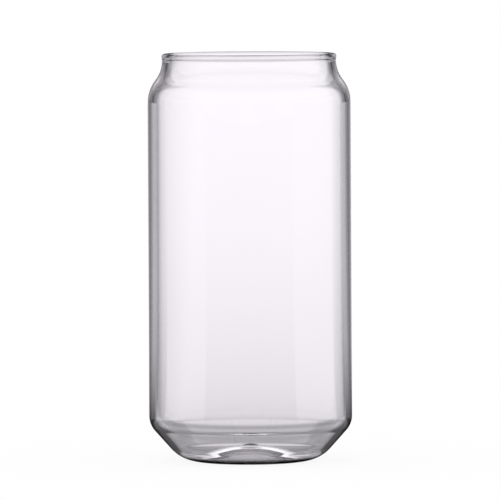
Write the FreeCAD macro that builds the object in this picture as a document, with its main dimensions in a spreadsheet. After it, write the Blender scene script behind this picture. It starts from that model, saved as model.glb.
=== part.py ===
"""Can shaped drinking glass: one blown piece, revolved from the section of its wall.

The section runs from the middle of the underside out to the foot, up the outside, over the
rounded lip, down the inside and back to the axis over the raised floor. Millimetres, +Z up,
with the origin in the middle of the plane that the foot stands on.
"""

import FreeCAD, Part
import math
import os

import Sketcher

# Name, value in millimetres or degrees, and what it sets.
SIZES = (
    ("overall_height", "150.5", "from the foot to the top of the lip"),
    ("body_diameter", "75", "outside of the straight wall"),
    ("neck_inset", "5.33", "how far the neck stands in from the straight wall"),
    ("wall", "2.1", "thickness of the wall, and of the lip without its swell"),
    ("lip_swell", "0.13", "how far the molten lip swells past the wall outside"),
    ("inner_lip_swell", "0.35", "how far it swells past the wall inside"),
    ("lip_blend_radius", "0.8", "bend that leads the lip's swell back into the neck"),
    ("neck_length", "0.9", "straight run between the lip's blend and the neck's bend"),
    ("neck_radius", "10.8", "hollow bend from the neck to the shoulder, outside"),
    ("shoulder_radius", "14", "round bend from the shoulder to the wall, outside"),
    ("heel_radius", "7.8", "bend from the wall to the chamfer, outside"),
    ("chamfer_angle", "48.4", "slope of the chamfer above the table"),
    ("chamfer_height", "13.6", "where the chamfer would meet the wall with no bend"),
    ("foot_radius", "13.8", "bend from the chamfer to the foot, outside"),
    ("inner_foot_radius", "6.9", "bend from the chamfer to the floor, inside"),
    ("foot_ring", "0.8", "width of the flat ring that it stands on"),
    ("floor_ring", "1", "width of the flat ring round the dome of the floor"),
    ("base_thickness", "2", "glass under the floor, measured upright"),
    ("push_up", "4.3", "how far the middle of the base is pushed up"),
    ("push_up_radius", "3", "bend from each ring to its pushed up dome"),
    ("nub_diameter", "9", "closing mark in the middle of the floor"),
    ("nub_height", "0.7", "rise of the closing mark above the dome"),
)

# The sketcher's numbers for its own axes and origin, and for the points of an edge.
LEVEL_AXIS, UPRIGHT_AXIS = range(-1, -3, -1)
START, END, CENTRE = range(1, 4)
ORIGIN = (LEVEL_AXIS, START)


def add_sizes(doc):
    """The sheet of driving dimensions, one named cell each."""
    sheet = doc.addObject("Spreadsheet::Sheet", "Sizes")
    for row, (name, value, note) in enumerate(SIZES, start=1):
        sheet.set("A%d" % row, name)
        sheet.set("B%d" % row, value)
        sheet.set("C%d" % row, note)
        sheet.setAlias("B%d" % row, name)
    doc.recompute()
    return sheet


class Outline:
    """Lines and arcs drawn end to end in a sketch, each smooth to the one before it."""

    def __init__(self, sketch, start):
        self.sketch = sketch
        self.first_place = start
        self.place = start
        self.heading = 0
        self.edges = {}
        self.latest = None

    def add(self, name, shape, first, last):
        self.edges[name] = (self.sketch.addGeometry(shape, False), first, last)
        if self.latest:
            self.rule("Tangent", *self.end(self.latest), *self.begin(name))
        self.latest = name

    def straight(self, name, length):
        """A line of this length, straight on."""
        finish = self.place + towards(self.heading) * length
        self.add(name, Part.LineSegment(self.place, finish), START, END)
        self.place = finish

    def bend(self, name, radius, turn):
        """An arc that turns left by turn radians, or right where turn is negative."""
        spoke = self.heading - math.copysign(math.pi / 2, turn)
        centre = self.place - towards(spoke) * radius
        circle = Part.Circle(centre, FreeCAD.Vector(0, 0, 1), radius)
        low, high = sorted((spoke, spoke + turn))
        ends = (START, END) if turn > 0 else (END, START)
        self.add(name, Part.ArcOfCircle(circle, low, high), *ends)
        self.heading += turn
        self.place = centre + towards(spoke + turn) * radius

    def close(self):
        """A last line, back to where the outline began."""
        line = self.sketch.addGeometry(Part.LineSegment(self.place, self.first_place), False)
        first = next(iter(self.edges))
        self.rule("Coincident", *self.end(self.latest), line, START)
        self.rule("Coincident", *self.begin(first), line, END)

    def corner(self, place, *names):
        """A point that these edges would run through if they went on."""
        point = self.sketch.addGeometry(Part.Point(place), True)
        for name in names:
            self.rule("PointOnObject", point, START, self.edge(name))
        return point, START

    def edge(self, name):
        return self.edges[name][0]

    def begin(self, name):
        return self.edges[name][0], self.edges[name][1]

    def end(self, name):
        return self.edges[name][0], self.edges[name][2]

    def centre(self, name):
        return self.edges[name][0], CENTRE

    def rule(self, kind, *items):
        return self.sketch.addConstraint(Sketcher.Constraint(kind, *items))

    def size(self, label, formula, kind, *items):
        """A dimension that follows the sheet."""
        number = self.rule(kind, *items)
        self.sketch.renameConstraint(number, label)
        self.sketch.setExpression("Constraints." + label, formula)

    def across(self, label, formula, near, far):
        gap = self.sketch.getPoint(*far).x - self.sketch.getPoint(*near).x
        self.size(label, formula, "DistanceX", *near, *far, gap)

    def above(self, label, formula, low, high):
        gap = self.sketch.getPoint(*high).y - self.sketch.getPoint(*low).y
        self.size(label, formula, "DistanceY", *low, *high, gap)

    def radius(self, name, formula):
        radius = self.sketch.Geometry[self.edge(name)].Radius
        self.size(name + "_radius", formula, "Radius", self.edge(name), radius)


def towards(heading):
    return FreeCAD.Vector(math.cos(heading), math.sin(heading), 0)


def draw_section(sketch, size):
    """The section of the wall, worked out from the sheet."""
    quarter = math.pi / 2
    slope = math.radians(size.chamfer_angle)
    body = size.body_diameter / 2
    lip_radius = (size.wall + size.lip_swell + size.inner_lip_swell) / 2

    # Each bend cuts this much off the chamfer's straight run.
    foot_cut = size.foot_radius * math.tan(slope / 2)
    heel_cut = size.heel_radius * math.tan((quarter - slope) / 2)
    chamfer = size.chamfer_height / math.sin(slope) - foot_cut - heel_cut
    foot = body - size.chamfer_height / math.tan(slope) - foot_cut
    wall_foot = size.chamfer_height + heel_cut

    # Inside, the chamfer keeps the wall's thickness and meets the floor in a tighter bend.
    inner_foot_cut = size.inner_foot_radius * math.tan(slope / 2)
    inner_chamfer = chamfer + foot_cut - inner_foot_cut
    inner_chamfer += size.wall / math.tan(slope) - size.base_thickness / math.sin(slope)
    inner_foot = foot + foot_cut - inner_foot_cut
    inner_foot += size.base_thickness / math.tan(slope) - size.wall / math.sin(slope)

    # The shoulder is two opposite bends, and so is each side of the lip.
    shoulder_bends = size.shoulder_radius + size.neck_radius
    shoulder_turn = math.acos(1 - size.neck_inset / shoulder_bends)
    lip_bends = lip_radius + size.lip_blend_radius
    lip_turn = math.acos(1 - size.lip_swell / lip_bends)
    inner_lip_turn = math.acos(1 - size.inner_lip_swell / lip_bends)
    inner_neck = size.neck_length + lip_bends * (math.sin(lip_turn) - math.sin(inner_lip_turn))
    wall_top = size.overall_height - lip_radius - lip_bends * math.sin(lip_turn)
    wall_top -= size.neck_length + shoulder_bends * math.sin(shoulder_turn)

    # Each dome is two opposite bends as well, and the nub rises from the floor's crown.
    dome = foot - size.foot_ring
    dome_turn = 2 * math.atan2(size.push_up, dome)
    crown_radius = dome / math.sin(dome_turn) - size.push_up_radius
    floor_dome = inner_foot - size.floor_ring
    floor_turn = 2 * math.atan2(size.push_up, floor_dome)
    floor_crown_radius = floor_dome / math.sin(floor_turn) - size.push_up_radius
    nub = size.nub_diameter / 2
    nub_foot_slope = math.asin(nub / floor_crown_radius)
    nub_pitch = (size.nub_height + floor_crown_radius * (1 - math.cos(nub_foot_slope))) / nub
    nub_reach = 1 + math.cos(nub_foot_slope) + nub_pitch * math.sin(nub_foot_slope)
    nub_slope = math.atan(nub_pitch) + math.acos(nub_reach / 2 / math.hypot(1, nub_pitch))
    nub_radius = nub / (2 * math.sin(nub_slope) - math.sin(nub_foot_slope))

    pen = Outline(sketch, FreeCAD.Vector(0, size.push_up, 0))
    pen.bend("under_crown", crown_radius, -dome_turn)
    pen.bend("under_valley", size.push_up_radius, dome_turn)
    pen.straight("foot_ring", size.foot_ring)
    pen.bend("foot", size.foot_radius, slope)
    pen.straight("chamfer", chamfer)
    pen.bend("heel", size.heel_radius, quarter - slope)
    pen.straight("wall", wall_top - wall_foot)
    pen.bend("shoulder", size.shoulder_radius, shoulder_turn)
    pen.bend("neck_bend", size.neck_radius, -shoulder_turn)
    pen.straight("neck", size.neck_length)
    pen.bend("outer_blend", size.lip_blend_radius, -lip_turn)
    pen.bend("lip", lip_radius, 2 * quarter + lip_turn + inner_lip_turn)
    pen.bend("inner_blend", size.lip_blend_radius, -inner_lip_turn)
    pen.straight("inner_neck", inner_neck)
    pen.bend("inner_neck_bend", size.neck_radius + size.wall, shoulder_turn)
    pen.bend("inner_shoulder", size.shoulder_radius - size.wall, -shoulder_turn)
    pen.straight("inner_wall", wall_top - wall_foot)
    pen.bend("inner_heel", size.heel_radius - size.wall, slope - quarter)
    pen.straight("inner_chamfer", inner_chamfer)
    pen.bend("inner_foot", size.inner_foot_radius, -slope)
    pen.straight("floor_ring", size.floor_ring)
    pen.bend("floor_valley", size.push_up_radius, -floor_turn)
    pen.bend("floor_crown", floor_crown_radius, floor_turn - nub_foot_slope)
    pen.bend("nub_valley", nub_radius, nub_foot_slope - nub_slope)
    pen.bend("nub_crown", nub_radius, nub_slope)
    pen.close()
    return pen


def hold_section(pen, size):
    """The rules and dimensions that tie the section to the sheet."""
    pen.rule("PointOnObject", *pen.begin("under_crown"), UPRIGHT_AXIS)
    pen.rule("PointOnObject", *pen.end("nub_crown"), UPRIGHT_AXIS)
    pen.rule("PointOnObject", *pen.begin("foot_ring"), LEVEL_AXIS)
    for crown in ("under_crown", "floor_crown", "nub_crown"):
        pen.rule("PointOnObject", *pen.centre(crown), UPRIGHT_AXIS)
    for level in ("foot_ring", "floor_ring"):
        pen.rule("Horizontal", pen.edge(level))
    for plumb in ("wall", "neck", "inner_neck", "inner_wall"):
        pen.rule("Vertical", pen.edge(plumb))

    # The wall keeps one thickness from the neck to the chamfer.
    for inner in ("heel", "shoulder", "neck_bend"):
        pen.rule("Coincident", *pen.centre("inner_" + inner), *pen.centre(inner))
    pen.rule("Parallel", pen.edge("inner_chamfer"), pen.edge("chamfer"))
    pen.across("wall", "Sizes.wall", pen.begin("inner_neck"), pen.end("neck"))
    pen.rule("Equal", pen.edge("inner_blend"), pen.edge("outer_blend"))
    pen.rule("Equal", pen.edge("floor_valley"), pen.edge("under_valley"))
    pen.rule("Equal", pen.edge("nub_valley"), pen.edge("nub_crown"))

    pen.across("body", "Sizes.body_diameter / 2", ORIGIN, pen.begin("wall"))
    pen.across("neck_inset", "Sizes.neck_inset", pen.begin("neck"), pen.begin("wall"))
    pen.above("neck_length", "Sizes.neck_length", pen.begin("neck"), pen.end("neck"))
    pen.radius("neck_bend", "Sizes.neck_radius")
    pen.radius("shoulder", "Sizes.shoulder_radius")
    pen.radius("heel", "Sizes.heel_radius")
    pen.radius("foot", "Sizes.foot_radius")
    pen.radius("inner_foot", "Sizes.inner_foot_radius")
    pen.radius("outer_blend", "Sizes.lip_blend_radius")
    pen.radius("lip", "(Sizes.wall + Sizes.lip_swell + Sizes.inner_lip_swell) / 2")
    pen.across("lip_inset", "(Sizes.wall - Sizes.lip_swell + Sizes.inner_lip_swell) / 2",
               pen.centre("lip"), pen.end("neck"))
    pen.above("lip_centre", "Sizes.overall_height - (Sizes.wall + Sizes.lip_swell"
              " + Sizes.inner_lip_swell) / 2", ORIGIN, pen.centre("lip"))

    corner = FreeCAD.Vector(size.body_diameter / 2, size.chamfer_height, 0)
    corner = pen.corner(corner, "chamfer", "wall")
    pen.above("chamfer_height", "Sizes.chamfer_height", ORIGIN, corner)
    pen.size("chamfer_angle", "Sizes.chamfer_angle * 1 deg", "Angle",
             pen.edge("chamfer"), math.radians(size.chamfer_angle))

    pen.across("foot_ring", "Sizes.foot_ring", pen.begin("foot_ring"), pen.end("foot_ring"))
    pen.across("floor_ring", "Sizes.floor_ring", pen.end("floor_ring"), pen.begin("floor_ring"))
    pen.radius("under_valley", "Sizes.push_up_radius")
    pen.above("push_up", "Sizes.push_up", ORIGIN, pen.begin("under_crown"))
    pen.above("floor", "Sizes.base_thickness", ORIGIN, pen.end("floor_ring"))
    crown = FreeCAD.Vector(0, size.base_thickness + size.push_up, 0)
    crown = pen.corner(crown, "floor_crown")
    pen.rule("PointOnObject", *crown, UPRIGHT_AXIS)
    pen.above("floor_push_up", "Sizes.push_up", pen.end("floor_ring"), crown)

    pen.across("nub", "Sizes.nub_diameter / 2", ORIGIN, pen.begin("nub_valley"))
    pen.above("nub_top", "Sizes.base_thickness + Sizes.push_up + Sizes.nub_height",
              ORIGIN, pen.end("nub_crown"))


def blow_glass(doc, size):
    """The whole glass, as one revolved body."""
    body = doc.addObject("PartDesign::Body", "Glass")
    body.Label = "can_glass"
    body.Placement = FreeCAD.Placement()

    sketch = body.newObject("Sketcher::SketchObject", "WallSection")
    plane = next(item for item in body.Origin.OriginFeatures if item.Role == "XZ_Plane")
    sketch.AttachmentSupport = [(plane, "")]
    sketch.MapMode = "FlatFace"
    pen = draw_section(sketch, size)
    hold_section(pen, size)

    turned = body.newObject("PartDesign::Revolution", "BlownGlass")
    turned.Profile = sketch
    turned.ReferenceAxis = (sketch, ["V_Axis"])
    turned.Angle = 360
    sketch.Visibility = False
    return body


def check(doc, bodies):
    """Stops before anything is written if an object failed."""
    for item in doc.Objects:
        if "Invalid" in item.State or "Error" in item.State:
            raise RuntimeError("%s failed: %s" % (item.Name, item.State))
    for body in bodies:
        if body.Shape.isNull() or not body.Shape.isValid():
            raise RuntimeError("%s has no sound shape" % body.Label)


doc = FreeCAD.newDocument("CanGlass")
sizes = add_sizes(doc)
bodies = [blow_glass(doc, sizes)]
doc.recompute()
check(doc, bodies)

os.makedirs("parts", exist_ok=True)
for body in bodies:
    body.Shape.exportStep("parts/%s.step" % body.Label)
    print(body.Label, "volume %.1f mm3" % body.Shape.Volume, body.Shape.BoundBox)
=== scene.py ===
"""Looks of a can shaped drinking glass: one blown, fire-polished piece on a pale floor.

Metres, +Z up, the foot on the floor at z = 0. The glass is drawn as the section of its wall,
vertex by vertex, and spun about its axis, as fine as its refraction needs.
"""
import math

import bpy
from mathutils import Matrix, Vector


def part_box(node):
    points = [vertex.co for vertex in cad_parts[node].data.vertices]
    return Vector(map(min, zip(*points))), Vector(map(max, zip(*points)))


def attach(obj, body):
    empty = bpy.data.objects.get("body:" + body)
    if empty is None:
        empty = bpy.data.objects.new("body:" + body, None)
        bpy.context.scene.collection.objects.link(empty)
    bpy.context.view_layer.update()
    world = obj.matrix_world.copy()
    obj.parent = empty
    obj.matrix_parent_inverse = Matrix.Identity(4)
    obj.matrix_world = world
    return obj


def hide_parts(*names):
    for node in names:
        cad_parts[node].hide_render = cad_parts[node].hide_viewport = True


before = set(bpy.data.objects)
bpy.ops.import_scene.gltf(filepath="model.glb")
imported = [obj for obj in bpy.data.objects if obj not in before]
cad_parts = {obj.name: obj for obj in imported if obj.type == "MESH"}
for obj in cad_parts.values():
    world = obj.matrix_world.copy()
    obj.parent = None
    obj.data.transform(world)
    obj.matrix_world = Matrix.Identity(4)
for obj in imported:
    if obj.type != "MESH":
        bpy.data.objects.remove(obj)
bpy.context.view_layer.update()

MM = 0.001

# Sizes of the glass, as in the part's source.
LOW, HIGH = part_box("can_glass")
HEIGHT = HIGH[2] - LOW[2]
BODY_RADIUS = 37.5 * MM
NECK_RADIUS = 32.17 * MM
WALL = 2.1 * MM
LIP_SWELL = 0.13 * MM
LIP_SWELL_INSIDE = 0.35 * MM
LIP_BLEND = 0.8 * MM
NECK_LENGTH = 0.9 * MM
NECK_BEND = 10.8 * MM
SHOULDER_BEND = 14.0 * MM
HEEL_BEND = 7.8 * MM
CHAMFER_SLOPE = math.radians(48.4)
CHAMFER_HEIGHT = 13.6 * MM
FOOT_BEND = 13.8 * MM
INNER_FOOT_BEND = 6.9 * MM
FOOT_RING = 0.8 * MM
FLOOR_RING = 1.0 * MM
BASE = 2.0 * MM
PUSH_UP = 4.3 * MM
PUSH_UP_BEND = 3.0 * MM
NUB_RADIUS = 4.5 * MM
NUB_HEIGHT = 0.7 * MM

# The closing mark's swirl: how far it reaches, how many waves a metre, how fine, how twisted
# and how deep.
SWIRL_RADIUS = 5.5 * MM
SWIRL_SCALE = 600.0
SWIRL_DETAIL = 2.0
SWIRL_TWIST = 1.5
SWIRL_DEPTH = 0.3 * MM
GLASS_IOR = 1.47

# How fine the glass is: the turn of each step along a bend, and the steps round the axis.
BEND_STEP = math.radians(4)
ROUND_STEPS = 256


def deselect():
    """Nothing selected and no object in edit mode."""
    if bpy.context.mode != "OBJECT":
        bpy.ops.object.mode_set(mode="OBJECT")
    bpy.ops.object.select_all(action="DESELECT")


class Pen:
    """Draws a section in the XZ plane of the object that is in edit mode."""

    def __init__(self, name, start):
        deselect()
        bpy.ops.mesh.primitive_circle_add(vertices=3, radius=MM, location=(0, 0, 0))
        self.piece = bpy.context.object
        self.piece.name = name
        self.piece.data.name = name
        bpy.ops.object.mode_set(mode="EDIT")
        bpy.ops.mesh.select_all(action="SELECT")
        bpy.ops.mesh.merge(type="CENTER")
        bpy.ops.transform.translate(value=start)
        self.place = Vector(start)
        self.heading = 0.0

    def straight(self, length):
        """One edge of this length, straight on."""
        step = towards(self.heading) * length
        bpy.ops.mesh.extrude_region_move(TRANSFORM_OT_translate={"value": step})
        self.place = self.place + step

    def bend(self, radius, turn):
        """An arc that turns left by turn radians, or right where turn is negative."""
        spoke = self.heading - math.copysign(math.pi / 2, turn)
        centre = self.place - towards(spoke) * radius
        steps = max(2, math.ceil(abs(turn) / BEND_STEP))
        bpy.ops.mesh.spin(steps=steps, angle=turn, center=centre, axis=(0, 1, 0))
        self.heading += turn
        self.place = centre + towards(spoke + turn) * radius

    def turn_round(self):
        """Spins the section about the upright axis and closes its seam and poles."""
        bpy.ops.mesh.select_all(action="SELECT")
        bpy.ops.mesh.spin(
            steps=ROUND_STEPS, angle=2 * math.pi, center=(0, 0, 0), axis=(0, 0, 1)
        )
        bpy.ops.mesh.select_all(action="SELECT")
        bpy.ops.mesh.remove_doubles(threshold=MM / 1000)
        bpy.ops.mesh.normals_make_consistent(inside=False)
        bpy.ops.object.mode_set(mode="OBJECT")
        bpy.ops.object.shade_smooth()
        return self.piece


def towards(heading):
    """One metre along the section in this heading, 0 being outwards."""
    return Vector((math.cos(heading), 0, math.sin(heading)))


def blow_glass():
    """The glass: underside, outside, lip, inside and floor in one outline."""
    quarter = math.pi / 2
    slope = CHAMFER_SLOPE
    lip_radius = (WALL + LIP_SWELL + LIP_SWELL_INSIDE) / 2

    foot_cut = FOOT_BEND * math.tan(slope / 2)
    heel_cut = HEEL_BEND * math.tan((quarter - slope) / 2)
    chamfer = CHAMFER_HEIGHT / math.sin(slope) - foot_cut - heel_cut
    foot = BODY_RADIUS - CHAMFER_HEIGHT / math.tan(slope) - foot_cut
    wall_foot = CHAMFER_HEIGHT + heel_cut

    inner_foot_cut = INNER_FOOT_BEND * math.tan(slope / 2)
    inner_chamfer = chamfer + foot_cut - inner_foot_cut
    inner_chamfer += WALL / math.tan(slope) - BASE / math.sin(slope)
    inner_foot = foot + foot_cut - inner_foot_cut
    inner_foot += BASE / math.tan(slope) - WALL / math.sin(slope)

    shoulder_bends = SHOULDER_BEND + NECK_BEND
    shoulder_turn = math.acos(1 - (BODY_RADIUS - NECK_RADIUS) / shoulder_bends)
    lip_bends = lip_radius + LIP_BLEND
    lip_turn = math.acos(1 - LIP_SWELL / lip_bends)
    inner_lip_turn = math.acos(1 - LIP_SWELL_INSIDE / lip_bends)
    inner_neck = NECK_LENGTH + lip_bends * (math.sin(lip_turn) - math.sin(inner_lip_turn))
    wall_top = HEIGHT - lip_radius - lip_bends * math.sin(lip_turn)
    wall_top -= NECK_LENGTH + shoulder_bends * math.sin(shoulder_turn)

    dome = foot - FOOT_RING
    dome_turn = 2 * math.atan2(PUSH_UP, dome)
    crown = dome / math.sin(dome_turn) - PUSH_UP_BEND
    floor_dome = inner_foot - FLOOR_RING
    floor_turn = 2 * math.atan2(PUSH_UP, floor_dome)
    floor_crown = floor_dome / math.sin(floor_turn) - PUSH_UP_BEND
    nub_foot_slope = math.asin(NUB_RADIUS / floor_crown)
    nub_pitch = (NUB_HEIGHT + floor_crown * (1 - math.cos(nub_foot_slope))) / NUB_RADIUS
    nub_reach = 1 + math.cos(nub_foot_slope) + nub_pitch * math.sin(nub_foot_slope)
    nub_slope = math.atan(nub_pitch) + math.acos(nub_reach / 2 / math.hypot(1, nub_pitch))
    nub_bend = NUB_RADIUS / (2 * math.sin(nub_slope) - math.sin(nub_foot_slope))

    pen = Pen("blown_glass", (0, 0, PUSH_UP))
    pen.bend(crown, -dome_turn)
    pen.bend(PUSH_UP_BEND, dome_turn)
    pen.straight(FOOT_RING)
    pen.bend(FOOT_BEND, slope)
    pen.straight(chamfer)
    pen.bend(HEEL_BEND, quarter - slope)
    pen.straight(wall_top - wall_foot)
    pen.bend(SHOULDER_BEND, shoulder_turn)
    pen.bend(NECK_BEND, -shoulder_turn)
    pen.straight(NECK_LENGTH)
    pen.bend(LIP_BLEND, -lip_turn)
    pen.bend(lip_radius, 2 * quarter + lip_turn + inner_lip_turn)
    pen.bend(LIP_BLEND, -inner_lip_turn)
    pen.straight(inner_neck)
    pen.bend(NECK_BEND + WALL, shoulder_turn)
    pen.bend(SHOULDER_BEND - WALL, -shoulder_turn)
    pen.straight(wall_top - wall_foot)
    pen.bend(HEEL_BEND - WALL, slope - quarter)
    pen.straight(inner_chamfer)
    pen.bend(INNER_FOOT_BEND, -slope)
    pen.straight(FLOOR_RING)
    pen.bend(PUSH_UP_BEND, -floor_turn)
    pen.bend(floor_crown, floor_turn - nub_foot_slope)
    pen.bend(nub_bend, nub_foot_slope - nub_slope)
    pen.bend(nub_bend, nub_slope)
    return pen.turn_round()


class Wiring:
    """Nodes of one tree, linked as they are made."""

    def __init__(self, tree):
        self.nodes = tree.nodes
        self.links = tree.links

    def add(self, kind, **inputs):
        node = self.nodes.new(kind)
        for name, value in inputs.items():
            self.join(value, node.inputs[name])
        return node

    def join(self, value, socket):
        if isinstance(value, bpy.types.NodeSocket):
            self.links.new(value, socket)
        else:
            socket.default_value = value

    def math(self, operation, *values):
        node = self.nodes.new("ShaderNodeMath")
        node.operation = operation
        for value, socket in zip(values, node.inputs):
            self.join(value, socket)
        return node.outputs[0]

    def ramp(self, value, stops):
        node = self.nodes.new("ShaderNodeValToRGB")
        marks = node.color_ramp.elements
        for place, _ in stops[1:-1]:
            marks.new(place)
        for mark, (place, level) in zip(marks, stops):
            mark.position = place
            mark.color = (level, level, level, 1)
        self.links.new(value, node.inputs[0])
        return node.outputs[0]

    def choose(self, switch, off, on):
        node = self.nodes.new("ShaderNodeMix")
        self.join(switch, node.inputs["Factor"])
        self.join(off, node.inputs["A"])
        self.join(on, node.inputs["B"])
        return node.outputs["Result"]


def clear_glass():
    """Fire-polished clear glass, with a fine swirl in the closing mark of its floor."""
    material = bpy.data.materials.new("clear_glass")
    material.use_nodes = True
    shader = material.node_tree.nodes["Principled BSDF"]
    shader.inputs["Base Color"].default_value = (1, 1, 1, 1)
    shader.inputs["Roughness"].default_value = 0
    shader.inputs["IOR"].default_value = GLASS_IOR
    shader.inputs["Transmission Weight"].default_value = 1
    net = Wiring(material.node_tree)
    place = net.add("ShaderNodeTexCoord").outputs["Object"]
    split = net.add("ShaderNodeSeparateXYZ", Vector=place)
    reach = net.math("SQRT", net.math(
        "ADD",
        net.math("POWER", split.outputs["X"], 2.0),
        net.math("POWER", split.outputs["Y"], 2.0),
    ))
    near = net.math("LESS_THAN", reach, SWIRL_RADIUS)
    inside = net.math("GREATER_THAN", split.outputs["Z"], PUSH_UP + BASE / 2)
    mark = net.math("MULTIPLY", near, inside)
    fade = net.math("SUBTRACT", 1.0, net.math("DIVIDE", reach, SWIRL_RADIUS))
    swirl = net.add(
        "ShaderNodeTexNoise", Vector=place, Scale=SWIRL_SCALE, Detail=SWIRL_DETAIL,
        Distortion=SWIRL_TWIST,
    )
    height = net.math("MULTIPLY", swirl.outputs["Fac"], net.math("MULTIPLY", mark, fade))
    bump = net.add("ShaderNodeBump", Height=height, Distance=SWIRL_DEPTH)
    net.join(bump.outputs["Normal"], shader.inputs["Normal"])
    return material


glass = blow_glass()
glass.data.materials.append(clear_glass())
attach(glass, "root")
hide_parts("can_glass")

# Camera: what the picture is wide at the glass, how far off and how high over the rim the eye
# is, and where the axis and the rim's middle lie in the picture, in its pixels.
FRAME_WIDTH = 184.45 * MM
DISTANCE = 2.4
RIM_ELEVATION = math.radians(1.4)
PICTURE = 500
AXIS_X, RIM_Y = 249.9, 53.1
ROLL = math.radians(-0.28)
SENSOR = 36
FARTHEST = 100


def set_camera():
    """The photograph's long lens, a little above the rim."""
    camera = bpy.data.objects.new("camera", bpy.data.cameras.new("camera"))
    bpy.context.scene.collection.objects.link(camera)
    camera.data.sensor_width = SENSOR
    camera.data.lens = SENSOR * DISTANCE / FRAME_WIDTH
    camera.data.clip_end = FARTHEST
    rise = DISTANCE * math.sin(RIM_ELEVATION)
    eye = Vector((0, -DISTANCE * math.cos(RIM_ELEVATION), HEIGHT + rise))
    pixel = FRAME_WIDTH / PICTURE
    middle = PICTURE / 2
    aim = Vector(((middle - AXIS_X) * pixel, 0, HEIGHT - (middle - RIM_Y) * pixel))
    camera.location = eye
    camera.rotation_euler = (aim - eye).to_track_quat("-Z", "Y").to_euler()
    camera.rotation_euler.rotate_axis("Z", ROLL)
    bpy.context.scene.camera = camera


# Studio. Bright screens every 45 degrees round the horizon, and dark between them, draw the
# glass's outline in each view. SCREENS gives their level from the middle of one to the middle
# of the gap beside it, which is SCREEN_TURN away. On the floor the screens are painted light,
# bright and dark sectors that only rays through and off the glass see, and they reach EDGE
# further.
SCREEN_TURN = math.radians(22.5)
SCREEN_SHIFT = math.radians(-1.7)
SCREENS = (
    (0, 1.0), (0.16, 1.0), (0.31, 0.88), (0.41, 0.83), (0.47, 0.76), (0.53, 0.64),
    (0.64, 0.36), (1, 0.28),
)
EDGE = 33 * MM
# The room by height of view: seen through the glass, seen by way of a reflection inside it,
# and mirrored by it. Of each pair, the first is behind the glass and the second, past SIDES,
# in front of it.
ROOM = (
    (0, 1), (0.05, 0.98), (0.075, 0.5), (0.12, 0.75), (0.25, 0.67), (0.4, 0.5), (0.5, 1), (1, 1),
)
INSIDE_ROOM = (
    (
        (0, 0.6), (0.08, 0.65), (0.13, 1.2), (0.4, 1.3), (0.43, 0.03), (0.58, 0.03),
        (0.64, 1.1), (1, 1.2),
    ),
    ((0, 0.5), (0.15, 0.73), (0.28, 0.65), (0.35, 1.1), (1, 1.2)),
)
MIRRORED_ROOM = (
    ((0, 0.3), (0.35, 0.2), (0.45, 0.3), (1, 0.6)),
    ((0, 1.2), (1, 1.2)),
)
SIDES = math.radians(50)
# How the inner reflections of the room fade to the sides: behind the glass the room itself, by
# half turns, and in front of it the gaps between the screens, which fill up with height.
SPREAD = ((0, 1), (0.083, 1), (0.111, 0.35), (0.15, 0.3), (0.175, 0.05), (1, 0.05))
OVER_SCREENS = ((0, 0), (0.06, 0), (0.12, 1), (1, 1))
# The floor's painted shade, in the same order, by how far from the glass it is: a painted
# shadow, mostly darker near the glass and with painted darker rings, that lightens towards the
# horizon. 0 is at the glass, 0.5 is HALF_WAY off, and 1 is the horizon.
HALF_WAY = 0.5
PAINTED_FLOOR_SHADE = (
    (0, 0.25), (0.033, 0.2), (0.046, 0.3), (0.083, 0.36), (0.1, 0.47), (0.11, 0.5),
    (0.123, 0.45), (0.138, 0.36), (0.167, 0.36), (0.187, 0.54), (0.206, 0.63),
    (0.237, 0.67), (0.275, 0.71), (0.324, 0.74), (0.39, 0.785), (0.5, 0.84), (0.65, 0.91),
    (0.778, 0.97), (0.88, 1), (1, 1),
)
INSIDE_PAINTED_FLOOR_SHADE = (
    (
        (0, 0.5), (0.05, 0.5), (0.07, 0.03), (0.2, 0.04), (0.33, 0.2), (0.5, 0.35),
        (0.7, 0.5), (1, 0.5),
    ),
    ((0, 0.02), (0.05, 0.1), (0.16, 0.18), (0.27, 0.7), (0.63, 0.8), (0.8, 0.89), (1, 0.89)),
)
MIRRORED_PAINTED_FLOOR_SHADE = (
    ((0, 0), (0.15, 0), (0.3, 0.05), (0.4, 0.35), (0.55, 0.8), (1, 1)),
    ((0, 0.02), (0.09, 0.02), (0.12, 0.18), (0.18, 0.5), (0.3, 1), (1, 1)),
)
# Two side panels in front that the outside mirrors, painted on the floor as painted reflections
# that only rays mirrored off the glass see, by half turns and by how far off the floor is, over
# the level of the rest.
PAINTED_PANEL_SPANS = ((0, 0), (0.405, 0), (0.41, 1), (0.72, 1), (0.73, 0), (1, 0))
PAINTED_PANEL_REFLECTION = (
    (0, 0), (0.26, 0), (0.285, 1.3), (0.375, 1.3), (0.667, 0.5), (0.828, 0.35), (1, 0.3),
)
MIRRORED_REST = 0.35
TINT = (1.01, 0.974, 1.035)
FLOOR_SIZE = 40
FLOOR_DIFFUSE = 0.1
# A mix node's colours share their names with its numbers, so they are taken by place.
COLOUR_A, COLOUR_B, COLOUR_MIXED = 6, 7, 2


def painted_floor_light(net, reach, screens, front, half_turns):
    """The floor's painted light, painted shade near the glass and painted panel reflections,
    seen through the glass, by way of its inside and mirrored.
    """
    share = net.math("DIVIDE", reach, net.math("ADD", reach, HALF_WAY))
    through = net.ramp(share, PAINTED_FLOOR_SHADE)
    behind, ahead = [net.ramp(share, stops) for stops in INSIDE_PAINTED_FLOOR_SHADE]
    inside = net.choose(front, net.math("MULTIPLY", screens, behind), ahead)
    behind, ahead = [net.ramp(share, stops) for stops in MIRRORED_PAINTED_FLOOR_SHADE]
    # Painted reflections of the two side panels, brighter strips in the floor as the glass
    # mirrors it.
    painted_panels = net.math("MULTIPLY", net.ramp(half_turns, PAINTED_PANEL_SPANS), net.ramp(share, PAINTED_PANEL_REFLECTION))
    ahead = net.math("MULTIPLY", ahead, net.math("ADD", painted_panels, MIRRORED_REST))
    mirrored = net.choose(front, net.math("MULTIPLY", screens, behind), ahead)
    return through, inside, mirrored


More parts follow.
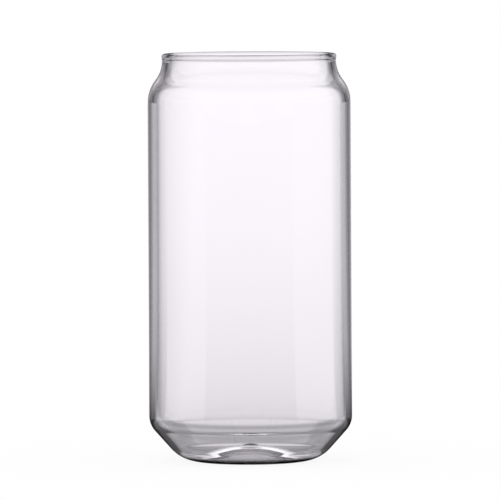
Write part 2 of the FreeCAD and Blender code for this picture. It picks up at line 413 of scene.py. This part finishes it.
def room_light(net, height, screens, front, half_turns):
    """What the room shows, in the same three ways."""
    through = net.ramp(height, ROOM)
    behind, ahead = [net.ramp(height, stops) for stops in INSIDE_ROOM]
    behind = net.math("MULTIPLY", behind, net.ramp(half_turns, SPREAD))
    low_screens = net.math("MAXIMUM", screens, net.ramp(height, OVER_SCREENS))
    inside = net.choose(front, behind, net.math("MULTIPLY", low_screens, ahead))
    behind, ahead = [net.ramp(height, stops) for stops in MIRRORED_ROOM]
    mirrored = net.choose(front, net.math("MULTIPLY", screens, behind), ahead)
    return through, inside, mirrored


def studio(net, place, reach=None):
    """The painted light of a place on the floor, shown to all but the camera's rays, or the
    room's light from a direction where no reach is given.
    """
    split = net.add("ShaderNodeSeparateXYZ", Vector=place)
    azimuth = net.math("ARCTAN2", split.outputs["X"], split.outputs["Y"])
    turn = net.math("PINGPONG", net.math("ADD", azimuth, SCREEN_SHIFT), SCREEN_TURN)
    if reach:
        turn = net.math("SUBTRACT", turn, net.math("DIVIDE", EDGE, reach))
    screens = net.ramp(net.math("DIVIDE", turn, SCREEN_TURN), SCREENS)
    aside = net.math("ABSOLUTE", azimuth)
    half_turns = net.math("DIVIDE", aside, math.pi)
    front = net.math("GREATER_THAN", aside, SIDES)
    if reach:
        levels = painted_floor_light(net, reach, screens, front, half_turns)
    else:
        levels = room_light(net, split.outputs["Z"], screens, front, half_turns)
    through, inside, mirrored = levels
    ray = net.add("ShaderNodeLightPath")
    reflected = net.math("GREATER_THAN", ray.outputs["Glossy Depth"], 0.5)
    seen = net.choose(reflected, net.math("MULTIPLY", screens, through), inside)
    return ray, net.choose(ray.outputs["Is Transmission Ray"], mirrored, seen)


def tinted(net, ray):
    """White for the camera, and the glass's faint lavender for what it shows."""
    colours = net.nodes.new("ShaderNodeMix")
    colours.data_type = "RGBA"
    net.join(ray.outputs["Is Camera Ray"], colours.inputs["Factor"])
    colours.inputs[COLOUR_A].default_value = (*TINT, 1)
    colours.inputs[COLOUR_B].default_value = (1, 1, 1, 1)
    return colours.outputs[COLOUR_MIXED]


def set_floor():
    """A white floor that keeps a soft real shadow to the camera, and to rays through and off the
    glass emits painted light as it recedes: painted shade near the glass, painted screens and
    painted panel reflections.
    """
    bpy.ops.mesh.primitive_plane_add(size=FLOOR_SIZE, location=(0, 0, 0))
    floor = bpy.context.object
    floor.name = "floor"
    material = bpy.data.materials.new("pale_floor")
    material.use_nodes = True
    material.node_tree.nodes.clear()
    net = Wiring(material.node_tree)
    place = net.add("ShaderNodeTexCoord").outputs["Object"]
    length = net.nodes.new("ShaderNodeVectorMath")
    length.operation = "LENGTH"
    net.join(place, length.inputs[0])
    # To all but camera rays the floor emits painted light: painted shade near the glass, painted
    # screens and painted panel reflections.
    ray, level = studio(net, place, length.outputs["Value"])
    seen = ray.outputs["Is Camera Ray"]
    level = net.choose(seen, level, 1 - FLOOR_DIFFUSE)
    # Emission: plain white to the camera, painted shade and painted reflections to the glass's
    # rays.
    white_and_painted_light = net.add("ShaderNodeEmission", Color=tinted(net, ray), Strength=level)
    pale = (FLOOR_DIFFUSE, FLOOR_DIFFUSE, FLOOR_DIFFUSE, 1)
    paint = net.add("ShaderNodeBsdfDiffuse", Color=pale)
    dark = net.add("ShaderNodeBsdfDiffuse", Color=(0, 0, 0, 1))
    coat = net.nodes.new("ShaderNodeMixShader")
    net.join(seen, coat.inputs[0])
    net.links.new(dark.outputs[0], coat.inputs[1])
    net.links.new(paint.outputs[0], coat.inputs[2])
    both = net.nodes.new("ShaderNodeAddShader")
    net.links.new(white_and_painted_light.outputs[0], both.inputs[0])
    net.links.new(coat.outputs[0], both.inputs[1])
    out = net.nodes.new("ShaderNodeOutputMaterial")
    net.links.new(both.outputs[0], out.inputs["Surface"])
    floor.data.materials.append(material)


def set_world():
    """The room round the glass, plain white to the camera and to the floor."""
    world = bpy.data.worlds.new("studio")
    bpy.context.scene.world = world
    world.use_nodes = True
    net = Wiring(world.node_tree)
    place = net.add("ShaderNodeTexCoord").outputs["Generated"]
    ray, level = studio(net, place)
    level = net.choose(ray.outputs["Is Camera Ray"], level, 1.0)
    level = net.choose(ray.outputs["Is Diffuse Ray"], level, 1.0)
    background = world.node_tree.nodes["Background"]
    net.join(tinted(net, ray), background.inputs["Color"])
    net.join(level, background.inputs["Strength"])


set_camera()
deselect()
set_floor()
set_world()
bpy.context.scene.view_settings.view_transform = "Standard"
